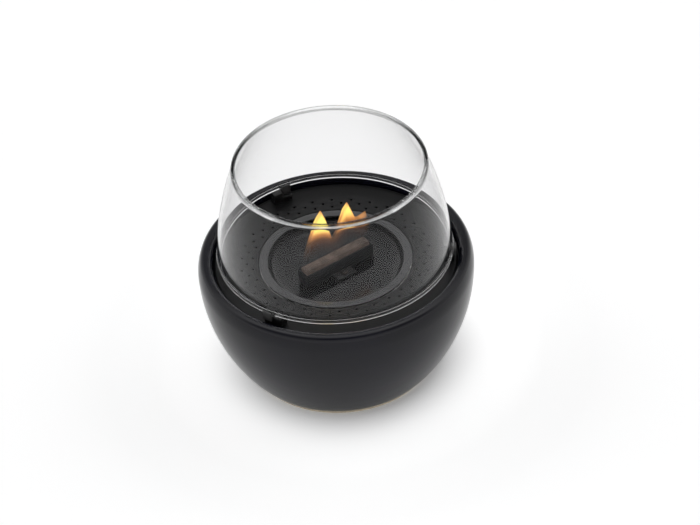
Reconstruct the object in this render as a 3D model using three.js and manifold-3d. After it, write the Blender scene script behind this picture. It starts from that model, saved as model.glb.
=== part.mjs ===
// Tabletop bioethanol fireplace: a glazed stoneware bowl, a perforated steel tray sunk inside its lip,
// an ethanol burner hanging in the tray, and an open glass chimney on three supports.
// Millimetres, +Z up, origin in the middle of the base, on the table.

import * as THREE from 'three';
import { mergeVertices } from 'three/addons/utils/BufferGeometryUtils.js';
import Module from 'manifold-3d';

const wasm = await Module();
wasm.setup();

// ---- driving dimensions ----

// fits
const seat = 0.3; // gap left where one piece rests on another
const roundSides = 48; // sides of the turned pieces
const smallSides = 12; // sides of screws and their bores

// stoneware bowl
const bellyRadius = 110; // widest radius
const bowlRise = 102.6; // from the underside of the foot to the top of the lip
const bellyDrop = 8.4; // widest place, below the middle of the lip
const bellyPower = 1.9; // fullness of the curve from the foot to the belly
const footInset = 33.5; // edge of the flat underside, inside the belly
const footBreak = 1; // broken edge round the underside
const lipRadius = 5; // half the thickness of the rounded lip
const lipInset = 6.7; // middle of the lip, inside the belly
const bowlWall = 6;
const bowlFloor = 7;
const ledgeDrop = 13.9; // shelf that carries the tray, below the top of the lip
const ledgeWidth = 6.8;
const ledgeThick = 2.5; // at its free edge
const ledgeSlope = 12; // height over which its underside runs back into the wall

// felt ring under the foot
const feltInset = 2.5; // inside the edge of the foot
const feltWidth = 14;
const feltThick = 3.5;

// silicone rest pads on the ledge
const padCount = 3;
const padAngle = 54; // direction of the first pad, in degrees
const padThick = 1.5;
const padLength = 12;
const padInset = 0.8; // from each edge of the ledge

// perforated tray
const trayGap = 1.3; // open ring between the tray and the lip
const trayDepth = 4.4; // from the foot of the skirt to the top of the plate
const traySheet = 1.5;
const trayEdgeRound = 2;
const bendRun = 0.4; // how far each bend of the sheet slopes
const recessDepth = 3; // the middle is pressed down to take the burner's flanges
const recessGap = 0.9; // open ring round the flanges
const holeRadius = 1.15;
const holesPerRow = 30;
const holeRowCount = 3; // every second row is staggered
const holeRowStart = 4.6; // first row, outside the recess
const holeRowPitch = 4.5;

// burner: can, gasket, dish
const canRadius = 56;
const canHoleGap = 0.8; // between the can and the tray's middle hole
const canSheet = 0.8;
const canUnderGap = 23.2; // between the can and the bowl's floor
const canCorner = 5;
const flangeWidth = 5;
const gasketThick = 0.8;
const gasketMargin = 0.8; // how far the gasket stays back from the flange edge
const dishSheet = 0.8;
const dishCanGap = 0.7; // between the well and the can
const dishDepth = 10; // from the flange to the floor of the well
const dishRimRound = 1.4;
const dishFloorMargin = 8.5; // flat floor, beyond the corners of the wick holder

// wick slab and its holder
const wickAngle = 34; // turned from +X, in degrees
const wickLength = 62;
const wickThick = 9.5;
const wickProud = 2.5; // above the holder
const wickBevel = 0.6;
const wickPlay = 0.4; // between the slab and what it passes through, each side
const holderSheet = 1.2;
const holderHeight = 11.4;
const lugLength = 18;
const lugWidth = 9;
const lugScrewReach = 5; // from the holder's side to the screw

// absorbent wool in the can
const woolHeadroom = 3.3; // below the ends of the wick holder's screws
const woolGap = 0.8; // between the wool and the can

// glass chimney
const glassInset = 2.7; // foot of the glass, inside the edge of the tray
const glassTaper = 16.8; // how much narrower the top is, in radius
const glassHeight = 85.2;
const glassPower = 1.7; // how late the side turns inwards
const glassSheet = 2.2; // thickness of the side
const glassBead = 3.6; // round bead along the top and the foot

// glass supports and their grips
const supportCount = 3;
const supportAngle = 114; // direction of the first grip, in degrees
const supportWidth = 16; // along the rim
const supportDepth = 8.5; // across the rim
const supportOverhang = 0.2; // outer face beyond the glass
const supportStep = 4.4; // height of the low half that carries the grip
const shoulderDrop = 0.5; // shoulder under the glass edge
const gripWidth = 8; // along the rim
const gripBody = 4.2; // height of the grip under the glass
const gripSide = 1.6; // rubber round the tongue
const gripRoof = 1.4; // rubber between the tongue and the glass
const gripLip = 1.4;
const gripPlay = 0.4; // between the grip and the glass, each side
const gripReach = 3.5; // how far the lips climb the glass

// screws and nuts
const screwRadius = 1.5;
const screwPlay = 0.3; // round each shank
const headMargin = 1.3; // head beyond the shank
const headHeight = 2;
const nutMargin = 1.6; // nut's corners beyond the shank
const nutHeight = 2.4;
const supportScrewLength = 7;
const supportBoreSpare = 2; // bore past the end of the screw
const wickScrewTail = 1.2; // thread past the nut

// ---- levels and radii that follow ----

const bowlBase = feltThick + seat;
const bowlInside = bowlBase + bowlFloor;
const footRadius = bellyRadius - footInset;
const feltOuter = footRadius - feltInset;
const lipTop = bowlBase + bowlRise;
const lipHeight = lipTop - lipRadius;
const lipRingRadius = bellyRadius - lipInset;
const bellyHeight = lipHeight - bellyDrop;
const bowlMouth = lipRingRadius - lipRadius;
const ledgeTop = lipTop - ledgeDrop;

const trayRadius = bowlMouth - trayGap;
const skirtBottom = ledgeTop + seat + padThick + seat;
const plateTop = skirtBottom + trayDepth;
const recessTop = plateTop - recessDepth;
const flangeRadius = canRadius + flangeWidth;
const recessRadius = flangeRadius + recessGap;
const trayHole = canRadius + canHoleGap;

const canBase = bowlInside + canUnderGap;
const canFloor = canBase + canSheet;
const canInner = canRadius - canSheet;
const canFlangeTop = recessTop + seat + canSheet;
const gasketTop = canFlangeTop + seat + gasketThick;
const dishTop = gasketTop + seat + dishSheet;
const dishFloor = dishTop - dishDepth;
const dishRim = canInner - dishCanGap - dishSheet;

const holderLength = wickLength + 2 * (wickPlay + holderSheet);
const holderWidth = wickThick + 2 * (wickPlay + holderSheet);
const holderBase = dishFloor + seat;
const holderTop = holderBase + holderHeight;
const dishFloorRadius = Math.hypot(holderLength, holderWidth) / 2 + dishFloorMargin;
const lugTop = holderBase + holderSheet;
const lugScrewY = holderWidth / 2 + lugScrewReach;
const wickTop = holderTop + wickProud;
const wickBase = canFloor + seat;
const wickNutBase = dishFloor - dishSheet - seat - nutHeight;
const wickScrewEnd = wickNutBase - wickScrewTail;
const woolTop = wickScrewEnd - woolHeadroom;

const supportBase = plateTop + seat;
const supportLow = supportBase + supportStep;
const gripBase = supportLow + seat;
const gripFloor = gripBase + gripBody;
const glassBase = gripFloor + seat;
const glassTop = glassBase + glassHeight;
const glassBaseRadius = trayRadius - glassInset;
const glassTopRadius = glassBaseRadius - glassTaper;
const gripMiddle = glassBaseRadius - glassBead / 2;
const gripSlotHalf = glassBead / 2 + gripPlay;
const gripDepthHalf = gripSlotHalf + gripLip;
const supportOuter = glassBaseRadius + supportOverhang;
const supportInner = supportOuter - supportDepth;
const supportScrewX = (supportInner + supportOuter) / 2;
const supportScrewY = (supportWidth + seat) / 2;
const screwSeat = plateTop - traySheet - seat;

// ---- materials ----

const finishes = {
  glaze: { color: 0x0b0b0d, roughness: 0.12, metalness: 0 },
  felt: { color: 0xe6dcc6, roughness: 0.95, metalness: 0 },
  blackSteel: { color: 0x121214, roughness: 0.45, metalness: 0 },
  steel: { color: 0xb4b6b8, roughness: 0.3, metalness: 1 },
  silicone: { color: 0x2b2b2d, roughness: 0.6, metalness: 0 },
  wool: { color: 0xe9e6df, roughness: 1, metalness: 0 },
  wick: { color: 0x6a5548, roughness: 0.95, metalness: 0 },
  glass: { color: 0xf4f7f7, roughness: 0.02, metalness: 0, transparent: true, opacity: 0.3 },
};

function material(finish) {
  return new THREE.MeshStandardMaterial(finishes[finish]);
}

// ---- shape helpers ----

// A point of a turned profile: radius and height.
function at(radius, height) {
  return new THREE.Vector2(radius, height);
}

// Points of an arc, angles in degrees, both ends included.
function arc(radius, height, size, from, to, steps) {
  const points = [];
  for (let i = 0; i <= steps; i += 1) {
    const angle = THREE.MathUtils.degToRad(from + ((to - from) * i) / steps);
    points.push(at(radius + size * Math.cos(angle), height + size * Math.sin(angle)));
  }
  return points;
}

// A solid turned about Z from a profile that runs anticlockwise in the (radius, height) plane.
function turned(points, sides) {
  const geometry = new THREE.LatheGeometry(points, sides);
  return geometry.rotateX(Math.PI / 2);
}

// The same for a ring: the profile closes on itself.
function turnedRing(points, sides) {
  return turned([...points, points[0].clone()], sides);
}

function box(x0, x1, y0, y1, z0, z1) {
  const geometry = new THREE.BoxGeometry(x1 - x0, y1 - y0, z1 - z0);
  return geometry.translate((x0 + x1) / 2, (y0 + y1) / 2, (z0 + z1) / 2);
}

function rod(radius, z0, z1, x, y, sides) {
  const geometry = new THREE.CylinderGeometry(radius, radius, z1 - z0, sides);
  return geometry.rotateX(Math.PI / 2).translate(x, y, (z0 + z1) / 2);
}

// A closed geometry as a solid that can be joined and cut.
function solid(geometry) {
  const bare = geometry.clone();
  bare.deleteAttribute('normal');
  bare.deleteAttribute('uv');
  const merged = mergeVertices(bare, 1e-4);
  const index = merged.index.array;
  const kept = [];
  for (let i = 0; i < index.length; i += 3) {
    const [a, b, c] = [index[i], index[i + 1], index[i + 2]];
    if (a !== b && b !== c && c !== a) {
      kept.push(a, b, c);
    }
  }
  return new wasm.Manifold(new wasm.Mesh({
    numProp: 3,
    vertProperties: new Float32Array(merged.attributes.position.array),
    triVerts: new Uint32Array(kept),
  }));
}

function fromSolid(body) {
  const mesh = body.getMesh();
  const geometry = new THREE.BufferGeometry();
  geometry.setAttribute('position', new THREE.BufferAttribute(new Float32Array(mesh.vertProperties), 3));
  geometry.setIndex(new THREE.BufferAttribute(new Uint32Array(mesh.triVerts), 1));
  return geometry;
}

function joined(geometries) {
  return geometries.slice(1).reduce((sum, next) => sum.add(solid(next)), solid(geometries[0]));
}

function cut(body, geometries) {
  return geometries.reduce((left, next) => left.subtract(solid(next)), body);
}

const fireplace = new THREE.Group();

function piece(name, geometry, finish, parent = fireplace) {
  geometry.computeVertexNormals();
  const mesh = new THREE.Mesh(geometry, material(finish));
  mesh.name = name;
  parent.add(mesh);
  return mesh;
}

function turnedGroup(angle) {
  const group = new THREE.Group();
  group.rotation.z = THREE.MathUtils.degToRad(angle);
  fireplace.add(group);
  return group;
}

// ---- bowl ----

// Radius of a superellipse quarter that is widest at the belly.
function bellyCurve(widest, drop, height) {
  const share = (bellyHeight - height) / drop;
  return widest * (1 - share ** bellyPower) ** (1 / bellyPower);
}

function bowlProfile() {
  const curveSteps = 9;
  const footShare = (1 - (footRadius / bellyRadius) ** bellyPower) ** (1 / bellyPower);
  const drop = (bellyHeight - bowlBase) / footShare;
  const shoulder = (lipInset ** 2 + bellyDrop ** 2 - lipRadius ** 2) / (2 * (lipInset - lipRadius));
  const shoulderRadius = bellyRadius - shoulder;
  const tangent = THREE.MathUtils.radToDeg(Math.atan2(bellyDrop, lipRingRadius - shoulderRadius));
  const ledgeRoot = ledgeTop - ledgeThick - ledgeSlope;
  const points = [at(0, bowlBase), at(footRadius - footBreak, bowlBase)];
  for (let i = 0; i < curveSteps; i += 1) {
    const from = bowlBase + footBreak;
    const height = from + ((bellyHeight - from) * i) / curveSteps;
    points.push(at(bellyCurve(bellyRadius, drop, height), height));
  }
  points.push(...arc(shoulderRadius, bellyHeight, shoulder, 0, tangent, 3));
  points.push(...arc(lipRingRadius, lipHeight, lipRadius, tangent, 180, 7).slice(1));
  points.push(at(bowlMouth, ledgeTop));
  points.push(at(bowlMouth - ledgeWidth, ledgeTop));
  points.push(at(bowlMouth - ledgeWidth, ledgeTop - ledgeThick));
  for (let i = 0; i < curveSteps - 1; i += 1) {
    const height = ledgeRoot + ((bowlInside - ledgeRoot) * i) / (curveSteps - 2);
    points.push(at(bellyCurve(bellyRadius - bowlWall, drop - bowlWall, height), height));
  }
  points.push(at(0, bowlInside));
  return points;
}

piece('bowl', turned(bowlProfile(), roundSides), 'glaze');

piece('felt_base_ring', turnedRing([
  at(feltOuter - feltWidth, 0),
  at(feltOuter, 0),
  at(feltOuter, feltThick),
  at(feltOuter - feltWidth, feltThick),
], roundSides), 'felt');

for (let i = 0; i < padCount; i += 1) {
  const group = turnedGroup(padAngle + (360 * i) / padCount);
  const outer = bowlMouth - padInset;
  const inner = bowlMouth - ledgeWidth + padInset;
  const base = ledgeTop + seat;
  const pad = box(inner, outer, -padLength / 2, padLength / 2, base, base + padThick);
  piece(`rest_pad_${i + 1}`, pad, 'silicone', group);
}

// ---- perforated tray ----

function trayProfile() {
  const under = plateTop - traySheet;
  const recessUnder = recessTop - traySheet;
  return [
    at(trayHole, recessUnder),
    at(recessRadius + traySheet, recessUnder),
    at(recessRadius + traySheet + bendRun, under),
    at(trayRadius - traySheet - bendRun, under),
    at(trayRadius - traySheet, under - bendRun),
    at(trayRadius - traySheet, skirtBottom),
    at(trayRadius, skirtBottom),
    ...arc(trayRadius - trayEdgeRound, plateTop - trayEdgeRound, trayEdgeRound, 0, 90, 3),
    at(recessRadius + bendRun, plateTop),
    at(recessRadius, recessTop),
    at(trayHole, recessTop),
  ];
}

function airHoles() {
  const pitch = 360 / holesPerRow;
  const holes = [];
  for (let row = 0; row < holeRowCount; row += 1) {
    const radius = recessRadius + holeRowStart + row * holeRowPitch;
    for (let i = 0; i < holesPerRow; i += 1) {
      const angle = THREE.MathUtils.degToRad((i + (row % 2 ? 0 : 0.5)) * pitch);
      const x = radius * Math.cos(angle);
      const y = radius * Math.sin(angle);
      holes.push(rod(holeRadius, plateTop - 2 * traySheet, plateTop + traySheet, x, y, 8));
    }
  }
  return holes;
}

// Bore for the screw that comes up through the tray into a glass support.
function supportBore(z0, z1) {
  return rod(screwRadius + screwPlay, z0, z1, supportScrewX, supportScrewY, smallSides);
}

function supportScrewHoles() {
  const holes = [];
  for (let i = 0; i < supportCount; i += 1) {
    const turn = THREE.MathUtils.degToRad(supportAngle + (360 * i) / supportCount);
    holes.push(supportBore(plateTop - 2 * traySheet, plateTop + traySheet).rotateZ(turn));
  }
  return holes;
}

const trayBlank = solid(turnedRing(trayProfile(), roundSides));
piece('burner_tray', fromSolid(cut(trayBlank, [...airHoles(), ...supportScrewHoles()])), 'blackSteel');

// ---- burner ----

piece('fuel_can', turned([
  at(0, canBase),
  ...arc(canRadius - canCorner, canBase + canCorner, canCorner, -90, 0, 3),
  at(canRadius, recessTop + seat),
  at(flangeRadius, recessTop + seat),
  at(flangeRadius, canFlangeTop),
  at(canInner, canFlangeTop),
  ...arc(canRadius - canCorner, canBase + canCorner, canCorner - canSheet, 0, -90, 3),
  at(0, canFloor),
], roundSides), 'steel');

piece('can_gasket', turnedRing([
  at(canInner, canFlangeTop + seat),
  at(flangeRadius - gasketMargin, canFlangeTop + seat),
  at(flangeRadius - gasketMargin, gasketTop),
  at(canInner, gasketTop),
], roundSides), 'silicone');

// Quarter ellipse between the dish's floor and its wall.
function dishCurve(floorHeight, wallRadius, top, from, to) {
  const steps = 7;
  const points = [];
  for (let i = 0; i <= steps; i += 1) {
    const angle = THREE.MathUtils.degToRad(from + ((to - from) * i) / steps);
    const radius = dishFloorRadius + (wallRadius - dishFloorRadius) * Math.cos(angle);
    points.push(at(radius, top + (top - floorHeight) * Math.sin(angle)));
  }
  return points;
}

function dishProfile() {
  const bend = dishTop - dishRimRound;
  const outerWall = dishRim + dishSheet;
  return [
    at(0, dishFloor - dishSheet),
    ...dishCurve(dishFloor - dishSheet, outerWall, bend, -90, 0),
    at(outerWall + bendRun, dishTop - dishSheet),
    at(flangeRadius, dishTop - dishSheet),
    at(flangeRadius, dishTop),
    ...arc(dishRim + dishRimRound, bend, dishRimRound, 90, 180, 3),
    ...dishCurve(dishFloor, dishRim, bend, 0, -90).slice(1),
    at(0, dishFloor),
  ];
}

const wickTurn = THREE.MathUtils.degToRad(wickAngle);

// The opening that the slab passes through, at any level.
function wickSlot(z0, z1) {
  const halfLength = wickLength / 2 + wickPlay;
  const halfThick = wickThick / 2 + wickPlay;
  return box(-halfLength, halfLength, -halfThick, halfThick, z0, z1).rotateZ(wickTurn);
}

function wickScrewHoles(z0, z1) {
  return [-1, 1].map((side) => {
    const hole = rod(screwRadius + screwPlay, z0, z1, 0, side * lugScrewY, smallSides);
    return hole.rotateZ(wickTurn);
  });
}

const dishCuts = [
  wickSlot(dishFloor - 3 * dishSheet, dishFloor + dishSheet),
  ...wickScrewHoles(dishFloor - 3 * dishSheet, dishFloor + dishSheet),
];
piece('burner_dish', fromSolid(cut(solid(turned(dishProfile(), roundSides)), dishCuts)), 'blackSteel');

function wickHolder() {
  const halfLength = holderLength / 2;
  const halfWidth = holderWidth / 2;
  const reach = halfWidth + lugWidth;
  const channel = box(-halfLength, halfLength, -halfWidth, halfWidth, holderBase, holderTop);
  const lugs = box(-lugLength / 2, lugLength / 2, -reach, reach, holderBase, lugTop);
  return joined([channel.rotateZ(wickTurn), lugs.rotateZ(wickTurn)]);
}

const holderCuts = [
  wickSlot(holderBase - 1, holderTop + 1),
  ...wickScrewHoles(holderBase - 1, lugTop + 1),
];
piece('wick_holder', fromSolid(cut(wickHolder(), holderCuts)), 'blackSteel');

// Upright slab with all its edges bevelled.
function wickSlab() {
  const core = wickLength - 2 * wickBevel;
  const shape = new THREE.Shape();
  const halfThick = wickThick / 2 - wickBevel;
  shape.moveTo(-core / 2, -halfThick);
  shape.lineTo(core / 2, -halfThick);
  shape.lineTo(core / 2, halfThick);
  shape.lineTo(-core / 2, halfThick);
  shape.closePath();
  const geometry = new THREE.ExtrudeGeometry(shape, {
    depth: wickTop - wickBase - 2 * wickBevel,
    bevelEnabled: true,
    bevelThickness: wickBevel,
    bevelSize: wickBevel,
    bevelSegments: 1,
  });
  return geometry.translate(0, 0, wickBase + wickBevel).rotateZ(wickTurn);
}

piece('wick_slab', wickSlab(), 'wick');

const woolBlank = solid(turned([
  at(0, canFloor + seat),
  at(canInner - woolGap - canCorner, canFloor + seat),
  at(canInner - woolGap, canFloor + seat + canCorner),
  at(canInner - woolGap, woolTop),
  at(0, woolTop),
], roundSides));
piece('absorbent_wool', fromSolid(cut(woolBlank, [wickSlot(canBase, woolTop + 1)])), 'wool');

// ---- fasteners ----

// Pan-head screw along Z: the head sits on the side that headUp points to.
function screw(headBase, length, headUp) {
  const way = headUp ? 1 : -1;
  const points = [
    at(0, headBase - way * length),
    at(screwRadius, headBase - way * length),
    at(screwRadius, headBase),
    at(screwRadius + headMargin, headBase),
    at(screwRadius + headMargin, headBase + way * headHeight * 0.6),
    at(screwRadius, headBase + way * headHeight),
    at(0, headBase + way * headHeight),
  ];
  return turned(headUp ? points : points.reverse(), smallSides);
}

function hexNut(z0) {
  const blank = solid(rod(screwRadius + nutMargin, z0, z0 + nutHeight, 0, 0, 6));
  return cut(blank, [rod(screwRadius + screwPlay, z0 - 1, z0 + nutHeight + 1, 0, 0, smallSides)]);
}

[-1, 1].forEach((side, i) => {
  const group = turnedGroup(wickAngle);
  const headBase = lugTop + seat;
  const bolt = screw(headBase, headBase - wickScrewEnd, true);
  piece(`wick_screw_${i + 1}`, bolt, 'steel', group).position.y = side * lugScrewY;
  piece(`wick_nut_${i + 1}`, fromSolid(hexNut(wickNutBase)), 'steel', group).position.y = side * lugScrewY;
});

// ---- glass chimney ----

function glassProfile() {
  const steps = 8;
  const half = glassSheet / 2;
  const bead = glassBead / 2;
  const meet = THREE.MathUtils.radToDeg(Math.acos(half / bead));
  const middle = [];
  for (let i = 0; i <= steps; i += 1) {
    const share = i / steps;
    const height = glassBase + bead + (glassHeight - glassBead) * share;
    const radius = glassTopRadius + (glassBaseRadius - glassTopRadius) * (1 - share ** glassPower);
    middle.push(at(radius - bead, height));
  }
  const side = middle.slice(1, -1);
  const outer = side.map((point) => at(point.x + half, point.y));
  const inner = side.map((point) => at(point.x - half, point.y)).reverse();
  const topBead = arc(middle[steps].x, middle[steps].y, bead, -meet, 180 + meet, 12);
  const footBead = arc(middle[0].x, middle[0].y, bead, 180 - meet, 360 + meet, 12);
  return [...outer, ...topBead, ...inner, ...footBead];
}

piece('glass_chimney', turnedRing(glassProfile(), roundSides), 'glass');

// ---- glass supports ----

// Black bracket: a low half that carries the grip, and a shoulder that the glass edge stands over.
function supportBracket() {
  const near = -gripWidth / 2;
  const far = near + supportWidth;
  const shoulder = gripWidth / 2 + seat;
  const tongueX = gripDepthHalf - gripSide - seat;
  const tongueY = gripWidth / 2 - gripSide - seat;
  const tongueTop = gripFloor - gripRoof - seat;
  const body = joined([
    box(supportInner, supportOuter, near, far, supportBase, supportLow),
    box(supportInner, supportOuter, shoulder, far, supportLow - 1, glassBase - shoulderDrop),
    box(gripMiddle - tongueX, gripMiddle + tongueX, -tongueY, tongueY, supportLow - 1, tongueTop),
  ]);
  const boreTop = screwSeat + supportScrewLength + supportBoreSpare;
  return cut(body, [supportBore(supportBase - 1, boreTop)]);
}

// Silicone grip: a block with a slot for the glass edge on top and a pocket for the tongue below.
function glassGrip() {
  const half = gripDepthHalf;
  const side = gripWidth / 2;
  const pocketX = gripDepthHalf - gripSide;
  const pocketY = side - gripSide;
  const slotIn = gripMiddle - gripSlotHalf;
  const slotOut = gripMiddle + gripSlotHalf;
  const block = box(gripMiddle - half, gripMiddle + half, -side, side, gripBase, glassBase + gripReach);
  const slot = box(slotIn, slotOut, -side - 1, side + 1, gripFloor, glassTop);
  const pocketTop = gripFloor - gripRoof;
  const pocket = box(gripMiddle - pocketX, gripMiddle + pocketX, -pocketY, pocketY, gripBase - 1, pocketTop);
  return cut(solid(block), [slot, pocket]);
}

for (let i = 0; i < supportCount; i += 1) {
  const group = turnedGroup(supportAngle + (360 * i) / supportCount);
  const bolt = screw(screwSeat, supportScrewLength, false).translate(supportScrewX, supportScrewY, 0);
  piece(`glass_support_${i + 1}`, fromSolid(supportBracket()), 'blackSteel', group);
  piece(`glass_grip_${i + 1}`, fromSolid(glassGrip()), 'silicone', group);
  piece(`support_screw_${i + 1}`, bolt, 'steel', group);
}

export default fireplace;
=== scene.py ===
# A tabletop bioethanol fireplace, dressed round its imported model: a glazed stoneware bowl, a perforated
# steel tray with three glass supports, an ethanol burner with a slab wick, an open glass chimney and flames.
# Metres, +Z up, origin in the middle of the base.

import math

import bmesh
import bpy
from mathutils import Matrix, Vector, noise


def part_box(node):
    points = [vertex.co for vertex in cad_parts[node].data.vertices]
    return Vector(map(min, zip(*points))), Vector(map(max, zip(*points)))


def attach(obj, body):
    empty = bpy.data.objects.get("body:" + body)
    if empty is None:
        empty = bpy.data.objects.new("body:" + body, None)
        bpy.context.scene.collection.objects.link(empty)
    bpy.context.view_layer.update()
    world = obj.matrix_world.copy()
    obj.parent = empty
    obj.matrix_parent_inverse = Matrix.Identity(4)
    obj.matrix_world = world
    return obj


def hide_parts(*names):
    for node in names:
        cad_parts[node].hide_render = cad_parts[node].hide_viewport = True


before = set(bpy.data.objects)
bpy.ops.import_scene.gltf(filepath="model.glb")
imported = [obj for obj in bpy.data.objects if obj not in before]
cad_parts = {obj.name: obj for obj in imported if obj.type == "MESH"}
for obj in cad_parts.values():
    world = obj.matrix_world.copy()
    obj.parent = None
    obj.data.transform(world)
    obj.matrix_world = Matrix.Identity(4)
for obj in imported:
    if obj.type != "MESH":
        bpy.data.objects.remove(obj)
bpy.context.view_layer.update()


# ---- Camera ----
# A long lens on a stand in front of the table, looking down at the fireplace, with the camera body tilted
# a little to one side, as the photograph was framed.

camera_elevation = math.radians(39.19)
camera_distance = 3.1079
camera_tilt = math.radians(3.9)
aim_height = 0.0712
aim_right_px = -12.5  # the aimed point, right of the picture's centre
aim_down_px = 22.63  # and below it
picture_width_px = 700
focal_length_px = 3889

aim = Vector((0, 0, aim_height))
eye = aim + camera_distance * Vector((0, -math.cos(camera_elevation), math.sin(camera_elevation)))
back = (eye - aim).normalized()
level_view = Matrix((Vector((1, 0, 0)), back.cross(Vector((1, 0, 0))), back)).transposed()
off_centre = Vector((aim_right_px, -aim_down_px, -focal_length_px))
pan = Vector((0, 0, -1)).rotation_difference(off_centre).to_matrix()
tilt = Matrix.Rotation(camera_tilt, 3, "Z")

camera = bpy.data.objects.new("camera", bpy.data.cameras.new("camera"))
bpy.context.scene.collection.objects.link(camera)
camera.data.sensor_width = 36
camera.data.lens = focal_length_px * camera.data.sensor_width / picture_width_px
camera.data.clip_start = 0.05
camera.data.clip_end = 50
camera.matrix_world = Matrix.Translation(eye) @ (level_view @ tilt.transposed() @ pan.transposed()).to_4x4()
bpy.context.scene.camera = camera
bpy.context.scene.view_settings.view_transform = "Standard"


# ---- Studio ----
# A white table top inside a plain light tent: dark in front, where the camera looks in, bright at the sides
# and overhead, and with a darker band low at the back. Seen directly or through glass it is plain white.

table_radius = 4.0
# painted light: the table glows by itself, weakly close to the bowl's foot and most in a ring round it, so
# that this glow shapes the contact shadow
table_glow = (
    (0.076, 0.08), (0.083, 0.19), (0.09, 0.27), (0.097, 0.33), (0.105, 0.38), (0.113, 0.39), (0.12, 0.37),
    (0.13, 0.32), (0.145, 0.24), (0.16, 0.16), (0.18, 0.12), (0.2, 0.09), (0.4, 0.06),
)  # distance from the glow's middle, and strength
# the glow's middle sits a little off the bowl's axis, so that the painted shadow is darker on the right
glow_middle = (0.005, 0.004, 0)
glossy_share = 0.25
tent_level = 1.5
# elevation in degrees, and shade, round the tent
tent_front = (
    (-10, 0.85), (12, 0.7), (28, 0.42), (36, 0.24), (44, 0.2), (52, 0.24), (60, 0.48), (68, 0.72), (84, 0.95),
)
tent_sides = ((-10, 0.9), (12, 0.7), (36, 0.72), (46, 0.86), (56, 1.1), (76, 1.3), (84, 0.95))
tent_back = ((-10, 0.5), (12, 0.45), (20, 0.32), (38, 0.28), (46, 0.6), (56, 0.95), (70, 1.1), (84, 0.95))
sides_begin = (-0.35, 0.2)  # how far back the front's shade gives way to the sides'
back_begins = (0.5, 0.95)  # and the sides' to the back's
opening_elevation = math.radians(47)
opening_half_angle = math.radians(6)
opening_soft_angle = math.radians(14)
opening_light = 0.5
softbox_width = 1.4
softbox_height = 1.9
softbox_watts = 2.0


def math_node(tree, operation, *values, clamp=False):
    node = tree.nodes.new("ShaderNodeMath")
    node.operation = operation
    node.use_clamp = clamp
    for socket, value in zip(node.inputs, values):
        if isinstance(value, bpy.types.NodeSocket):
            tree.links.new(value, socket)
        else:
            socket.default_value = value
    return node.outputs[0]


def ramp_node(tree, factor, stops):
    """A colour ramp. stops is a list of (position, colour)."""
    node = tree.nodes.new("ShaderNodeValToRGB")
    tree.links.new(factor, node.inputs[0])
    band = node.color_ramp.elements
    while len(band) < len(stops):
        band.new(0.5)
    for element, (position, colour) in zip(band, stops):
        element.position = position
        element.color = (*colour, 1)
    return node.outputs[0]


def range_node(tree, value, from_low, from_high, to_low, to_high, smooth=False):
    node = tree.nodes.new("ShaderNodeMapRange")
    node.interpolation_type = "SMOOTHSTEP" if smooth else "LINEAR"
    for socket, number in zip(list(node.inputs)[1:5], (from_low, from_high, to_low, to_high)):
        socket.default_value = number
    tree.links.new(value, node.inputs[0])
    return node.outputs[0]


def vector_node(tree, operation, first, second=None):
    node = tree.nodes.new("ShaderNodeVectorMath")
    node.operation = operation
    tree.links.new(first, node.inputs[0])
    if second:
        node.inputs[1].default_value = second
    return node.outputs["Value" if operation in ("DOT_PRODUCT", "DISTANCE") else "Vector"]


def mix_colours(tree, share, first, second):
    node = tree.nodes.new("ShaderNodeMix")
    node.data_type = "RGBA"
    for socket, source in (("Factor", share), ("A", first), ("B", second)):
        if isinstance(source, bpy.types.NodeSocket):
            tree.links.new(source, node.inputs[socket])
        else:
            node.inputs[socket].default_value = (*source, 1)
    return node.outputs["Result"]


def mix_shaders(tree, share, first, second):
    node = tree.nodes.new("ShaderNodeMixShader")
    for socket, source in zip(node.inputs, (share, first, second)):
        tree.links.new(source, socket)
    return node.outputs[0]


def grey(value):
    return (value, value, value)


world = bpy.data.worlds.new("light_tent")
bpy.context.scene.world = world
world.use_nodes = True
tent = world.node_tree
tent.nodes.clear()
direction = tent.nodes.new("ShaderNodeTexCoord").outputs["Generated"]
upward = vector_node(tent, "DOT_PRODUCT", direction, (0, 0, 1))
height_share = math_node(tent, "MULTIPLY_ADD", upward, 0.5, 0.5)
shades = []
for part in (tent_front, tent_sides, tent_back):
    stops = [((1 + math.sin(math.radians(elevation))) / 2, grey(level / 2)) for elevation, level in part]
    shades.append(ramp_node(tent, height_share, stops))
level_direction = vector_node(tent, "NORMALIZE", vector_node(tent, "MULTIPLY", direction, (1, 1, 0)))
backward = vector_node(tent, "DOT_PRODUCT", level_direction, (0, 1, 0))
tent_shade = shades[0]
for band, shade in ((sides_begin, shades[1]), (back_begins, shades[2])):
    tent_shade = mix_colours(tent, range_node(tent, backward, *band, 0, 1, smooth=True), tent_shade, shade)
opening = Vector((0, -math.cos(opening_elevation), math.sin(opening_elevation)))
tent_strength = range_node(
    tent, vector_node(tent, "DOT_PRODUCT", direction, opening),
    math.cos(opening_half_angle + opening_soft_angle), math.cos(opening_half_angle),
    2 * tent_level, 2 * tent_level * opening_light, smooth=True,
)
tent_seen = tent.nodes.new("ShaderNodeBackground")
tent.links.new(tent_shade, tent_seen.inputs["Color"])
tent.links.new(tent_strength, tent_seen.inputs["Strength"])
plain_white = tent.nodes.new("ShaderNodeBackground")
plain_white.inputs["Color"].default_value = (1, 1, 1, 1)
rays = tent.nodes.new("ShaderNodeLightPath").outputs
seen_directly = math_node(tent, "MAXIMUM", rays["Is Camera Ray"], rays["Is Transmission Ray"])
sky = tent.nodes.new("ShaderNodeOutputWorld")
tent_mix = mix_shaders(tent, seen_directly, tent_seen.outputs[0], plain_white.outputs[0])
tent.links.new(tent_mix, sky.inputs["Surface"])

softbox = bpy.data.objects.new("softbox", bpy.data.lights.new("softbox", "AREA"))
softbox.data.size = softbox_width
softbox.data.energy = softbox_watts
softbox.location = (0, 0, softbox_height)
bpy.context.scene.collection.objects.link(softbox)


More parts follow.
